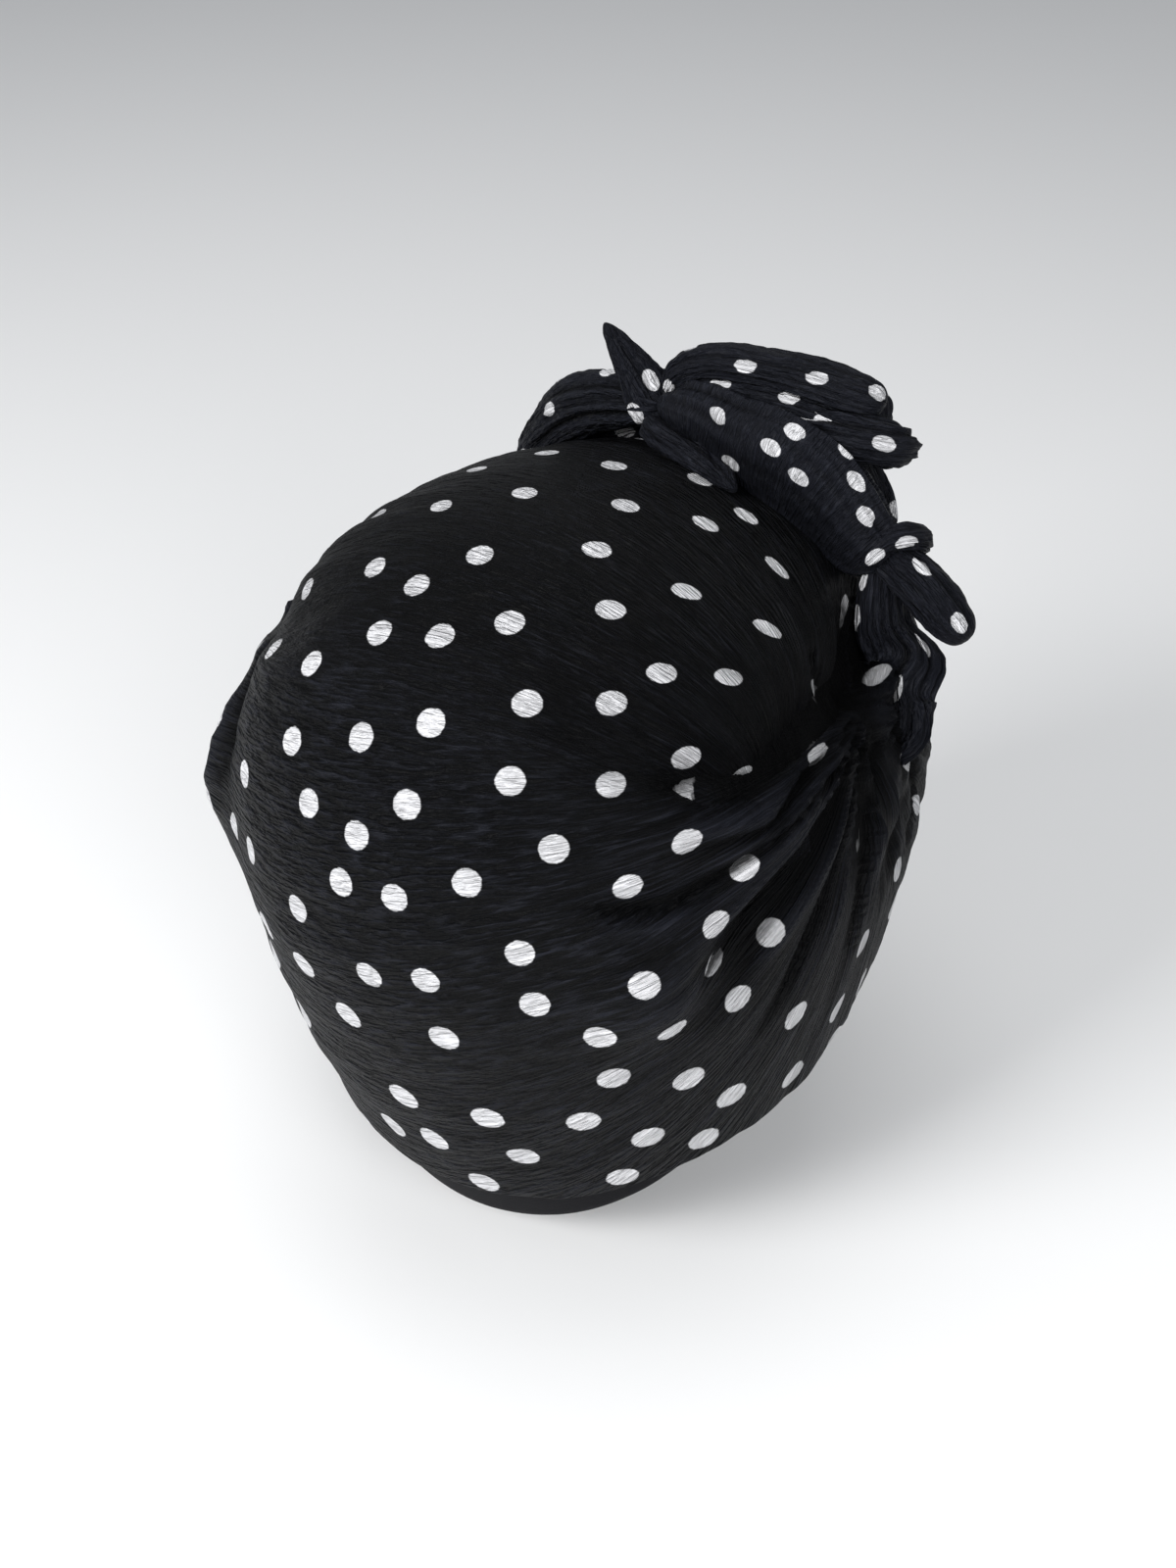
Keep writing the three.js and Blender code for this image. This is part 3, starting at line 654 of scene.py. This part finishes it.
def roll_of_cloth(name, stations, creases, pleats, dots, seed, crosswise=False, dot_shape=(1.15, 1.75)):
    """A bundle of cloth through stations (left, back, up, deep, tall, lean) in mm and degrees.

    creases are lengthwise grooves as (degrees around, half width in degrees, depth in mm); dots are
    (share along, degrees around). Degrees around run from the roll's side, up over its top.
    crosswise cloth has its crinkles round the roll, and dot_shape narrows the dots along and across it.
    """
    sheet, column, row = grid_sheet(roll_sides, roll_steps)
    rows = through(stations, row)
    ahead, behind = through(stations, row + 0.004), through(stations, row - 0.004)
    tangent = unit(ahead[:, :3] - behind[:, :3])
    outward = unit(np.array([0, 0, 1]) - tangent * tangent[:, 2:3])
    sideways = np.cross(tangent, outward)
    around = column * 2 * math.pi
    end = np.sqrt(np.clip(1 - np.abs(2 * row - 1) ** 9, 0, 1))
    swell = np.ones(len(row))
    grooves = np.zeros(len(row))
    for degrees, half, depth in creases:
        away = (np.degrees(around) - degrees + 180) % 360 - 180
        grooves -= depth * np.exp(-((np.abs(away) / half) ** 1.4)) * end
    for i in range(len(row)):
        c, s = math.cos(around[i]), math.sin(around[i])
        broad = noise.noise(Vector((1.3 * c + seed, 1.3 * s, row[i] * 1.6)))
        fold = abs(noise.noise(Vector((2.6 * c - seed, 2.6 * s + 5, row[i] * 1.5))))
        fine = noise.noise(Vector((7 * c, 7 * s + seed, row[i] * 3.5)))
        swell[i] += pleats * (1.5 * broad + 2.6 * (0.25 - fold) + 0.5 * fine)
    deep, tall = rows[:, 3] / 2, rows[:, 4] / 2
    lean = np.radians(rows[:, 5])
    a = (deep * swell + grooves) * end * np.cos(around)
    b = (tall * swell + grooves) * end * np.sin(around)
    offset = sideways * (a * np.cos(lean) - b * np.sin(lean))[:, None]
    offset += outward * (a * np.sin(lean) + b * np.cos(lean))[:, None]
    places = rows[:, :3] + offset
    outline = unit(offset)
    for i in range(len(row)):
        where = places[i] * 0.35
        if crosswise:
            where = row[i] * 30, 0.5 * math.cos(around[i]), 0.5 * math.sin(around[i]) + seed
        places[i] += outline[i] * 0.35 * end[i] * noise.noise(Vector(where))
    place_vertices(sheet, places)
    run = np.linalg.norm(np.diff(through(stations, np.linspace(0, 1, 50))[:, :3], axis=0), axis=1).sum()
    girth = (deep + tall) / 2
    if crosswise:
        way = np.stack([girth * np.sin(around), run * row, girth * np.cos(around) * 0.14], -1)
    else:
        way = np.stack([run * row, girth * np.cos(around), girth * np.sin(around)], -1)
    from_dots = np.full((len(row), 3), 30.0)
    for share, degrees in dots:
        away = np.hypot((row - share) * 4, (np.degrees(around) - degrees + 180) % 360 / 180 - 1)
        middle = np.argmin(away)
        offset = places - places[middle]
        along = np.sum(offset * tangent[middle], axis=1, keepdims=True) * tangent[middle]
        squeezed = along * dot_shape[0] + (offset - along) * dot_shape[1]
        closer = np.linalg.norm(squeezed, axis=1) < np.linalg.norm(from_dots, axis=1)
        from_dots[closer] = squeezed[closer]
    # A crown share of minus one marks the ties, knot and tails, which the material paints lighter as a
    # painted sheen
    painted_roll_sheen = -np.ones(len(row))
    # Painted shade in the roll's creases and painted highlights on its pleats, from how deep the cloth lies
    shade = fold_shade(np.hypot(a, b), roll_sides, roll_steps)
    mark_sheet(sheet, from_dots, way + seed * 7, way, painted_roll_sheen, shade)
    close_sheet(sheet)
    piece = new_mesh(name, sheet)
    piece.data.materials.append(dotted_jersey)
    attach(piece, "root")
    return piece


side_tie_rows = {
    "side_tie_right": (
        (-57, -44, -13, 11, 9, 0), (*on_cap(118, .184, 4), 15, 8, 0), (*on_cap(114, .218, 2), 18, 6.5, 0),
        (*on_cap(111, .253, 0), 19, 5, 0), (*on_cap(109, .3, -3), 18, 4.4, 0),
        (*on_cap(108, .345, -5.4), 14, 3.4, 0),
    ),
    "side_tie_left": (
        (56, -59, -30, 9, 8, 0), (*on_cap(-128, .215, 4), 10, 8, 0), (*on_cap(-123, .235, 2.8), 13, 7, 0),
        (*on_cap(-117, .262, 1.8), 16, 5.4, 0), (*on_cap(-111, .3, 1.2), 18, 4.4, 0),
    ),
}
side_tie_pleats = tuple((degrees, 7, 0.9) for degrees in (15, 42, 66, 88, 112, 138, 165))
side_tie_dots = ((.05, 356), (.15, 350), (.37, 131), (.44, 41), (.56, 95))
for node, rows in side_tie_rows.items():
    tie = roll_of_cloth(
        node + "_cloth", rows, side_tie_pleats, pleats=0.12, dots=side_tie_dots, seed=4, dot_shape=(.9, 2.6),
    )
    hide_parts(node)


# The knot is a strap of the same jersey, turned over itself and pulled tight over the forehead.
# The wide strap crosses it, and its loops stand up behind and in front as soft pleated rolls.
knot_rows = {
    "knot_band": (
        (8, -46, 6, 10, 12, 0), (-6, -45, 7, 13, 19, -10), (-19, -44, 4, 15, 26, -15),
        (-32, -43, 1.5, 16, 30, -15), (-44, -43, -4, 16, 29, -15), (-54, -42, -10.5, 14, 22, -10),
        (-60, -42, -15, 9, 12, 0),
    ),
    "left_roll": (
        (6, -46, 6, 12, 10, 0), (20, -49, 3, 15, 14, 0), (34, -52, -3, 16, 15, 0), (46, -55, -12, 14, 14, 0),
        (55, -58, -22, 11, 12, 0), (60, -61, -33, 8, 9, 0),
    ),
    "right_roll": (
        (-21, -47, 11, 9, 7, 0), (-32, -47, 11.5, 12, 9, 0), (-44, -48, 11.5, 13, 11, 0),
        (-52, -52, 10, 12, 10, 0), (-53, -59, 6, 8, 8, 0),
    ),
    "front_wrap": (
        (-56, -46, -15, 10, 15, 0), (-45, -57, -12, 13, 20, 0), (-28, -67, -8, 15, 23, 0),
        (0, -73, -5, 16, 24, 0), (28, -67, -9, 15, 22, 0), (46, -60, -19, 12, 18, 0),
        (56, -56, -30, 9, 14, 0),
    ),
    "top_roll": (
        (6, -47, 9, 7, 7, 0), (3, -48, 15, 9, 8, 0), (-6, -50, 19, 11, 9, 0), (-22, -52, 20, 12, 9, 0),
        (-32, -52, 20.5, 13, 9, 0), (-43, -53, 19.5, 12, 9, 0), (-49, -55, 18, 10, 8, 0),
    ),
    "inner_roll": (
        (3, -46, 11, 8, 6, 0), (-12, -47, 14, 9, 7, 0), (-26, -48, 14.5, 9, 7, 0), (-40, -49, 13.5, 9, 7, 0),
        (-50, -51, 11.5, 7, 6, 0),
    ),
    "front_roll": (
        (2, -58, 11, 13, 13, 0), (-18, -62, 13, 16, 15, 0), (-34, -62, 12.5, 15, 14, 0),
        (-46, -60, 9, 12, 12, 0),
    ),
    "tail_ring": (
        (-56, -37, -13, 5, 5, 0), (-60, -40, -7, 6, 6, 0), (-64, -46, -7, 6.5, 6, 0),
        (-63, -53, -13, 6, 6, 0),
    ),
}
knot_looks = {
    "knot_band": dict(
        creases=((75, 8, 0.9), (118, 8, 1.0)), pleats=0.07, crosswise=True, seed=1,
        dots=((.26, 45), (.35, 0), (.47, 41), (.56, 30), (.5, 72), (.62, 104), (.7, 80), (.79, 62),
              (.3, 150), (.6, 200)),
    ),
    "left_roll": dict(
        creases=((200, 10, 1.0), (125, 10, 1.4), (70, 10, 0.8)), pleats=0.15, seed=2,
        dots=((.5, 158), (.46, 95), (.24, 99), (.75, 60), (.3, 20), (.6, 320), (.8, 200)),
    ),
    "right_roll": dict(
        creases=((150, 10, 0.8), (60, 9, 0.7)), pleats=0.14, seed=3, dots=((.68, 27), (.3, 60), (.6, 200)),
    ),
    "front_wrap": dict(
        creases=((20, 8, 1.2), (-30, 8, 1.0), (60, 8, 1.0)), pleats=0.12, seed=5,
        dots=((.69, 189), (.1, 41), (.25, 90), (.25, 10), (.4, 50), (.42, -20), (.55, 90), (.6, 20),
              (.75, 70), (.8, 0)),
    ),
    "top_roll": dict(
        creases=((140, 9, 0.8), (52, 8, 1.0)), pleats=0.15, seed=6,
        dots=((.06, 13), (.43, 30), (.7, 44), (.93, 60), (.25, 110), (.55, 150), (.8, 170)),
    ),
    "inner_roll": dict(
        creases=((150, 10, 0.7),), pleats=0.14, seed=7, dots=((.22, 60), (.54, 63), (.72, 20)),
    ),
    "front_roll": dict(
        creases=((90, 9, 1.4), (30, 9, 1.0)), pleats=0.14, seed=8,
        dots=((.15, 100), (.3, 30), (.4, 150), (.55, 80), (.7, 20), (.8, 140), (.5, 330)),
    ),
    "tail_ring": dict(creases=((120, 12, 0.5),), pleats=0.12, seed=9, dots=((.15, 350), (.5, 350))),
}
for node, rows in knot_rows.items():
    roll = roll_of_cloth(node + "_cloth", rows, **knot_looks[node])
    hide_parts(node)


# The strap's two ends come out of the knot. One droops over the wearer's right ear as a stuffed tail;
# the other is folded to a pointed tip that stands up, with a pointed flap that lies back on the crown.
tail_rows = {
    "right_tail": (
        (-57, -43, -12, 9, 9, 0), (-65, -44, -16, 12, 11, 0), (-73, -45, -22, 13, 11, 0),
        (-81, -45, -28.5, 9, 8, 0),
    ),
    "tail_tip": (
        (7, -46, 3, 12, 5, 41), (12, -46, 9, 12, 4, 41), (18, -46, 16, 8, 3.5, 41),
        (25, -46, 23, 2.5, 2.5, 41),
    ),
    "tail_flap": (
        (9, -43, 3, 9, 6, 0), (2, -41, 2, 13, 6, 0), (-8, -38, 1, 12, 5.5, 0), (-17, -35, -.5, 8, 4, 0),
        (-24, -32, -2.4, 2.5, 2.5, 0),
    ),
}
tail_dots = {
    "right_tail": ((.36, 72), (.86, 55), (.6, 150), (.5, 250)),
    "tail_tip": ((.38, 72), (.18, 162), (.5, 250)),
    "tail_flap": ((.3, 250),),
}
for node, rows in tail_rows.items():
    tail = roll_of_cloth(
        node + "_cloth", rows, ((90, 10, 0.5),), pleats=0.1, dots=tail_dots[node], seed=11,
    )
    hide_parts(node)


# The floor is a plain pale sweep, just below the lowest hem.
floor_drop = 0.1865
sweep = bmesh.new()
bmesh.ops.create_circle(sweep, cap_ends=True, segments=64, radius=6)
floor = new_mesh("floor", sweep)
for vertex in floor.data.vertices:
    vertex.co.z = -floor_drop
pale = bpy.data.materials.new("pale_floor")
pale.use_nodes = True
pale.node_tree.nodes["Principled BSDF"].inputs["Base Color"].default_value = (0.86, 0.86, 0.86, 1)
pale.node_tree.nodes["Principled BSDF"].inputs["Roughness"].default_value = 0.9
floor.data.materials.append(pale)


# Soft studio light: a pale room, a broad light from behind the camera on its left, and one overhead.
world = bpy.data.worlds.new("studio")
world.use_nodes = True
world.node_tree.nodes["Background"].inputs[0].default_value = (0.93, 0.96, 1, 1)
world.node_tree.nodes["Background"].inputs[1].default_value = 0.36
bpy.context.scene.world = world
# Name, metres to the camera's right, up and towards it, size in metres, power in watts
studio_lights = (
    ("key_light", -0.8, 0.1, 0.7, 0.5, 12),
    ("low_light", 0.3, -0.2, 1.1, 0.6, 6),
    ("top_light", 0.0, 1.3, -0.3, 0.9, 4.5),
)
for name, aside, rise, towards, size, power in studio_lights:
    lamp = bpy.data.lights.new(name, "AREA")
    lamp.size = size
    lamp.energy = power
    light = bpy.data.objects.new(name, lamp)
    light.location = camera_right * aside + towards_camera * towards + Vector((0, 0, rise))
    light.rotation_euler = (Vector((0, 0, -0.08)) - light.location).to_track_quat("-Z", "Y").to_euler()
    bpy.context.collection.objects.link(light)
bpy.context.scene.view_settings.view_transform = "Standard"
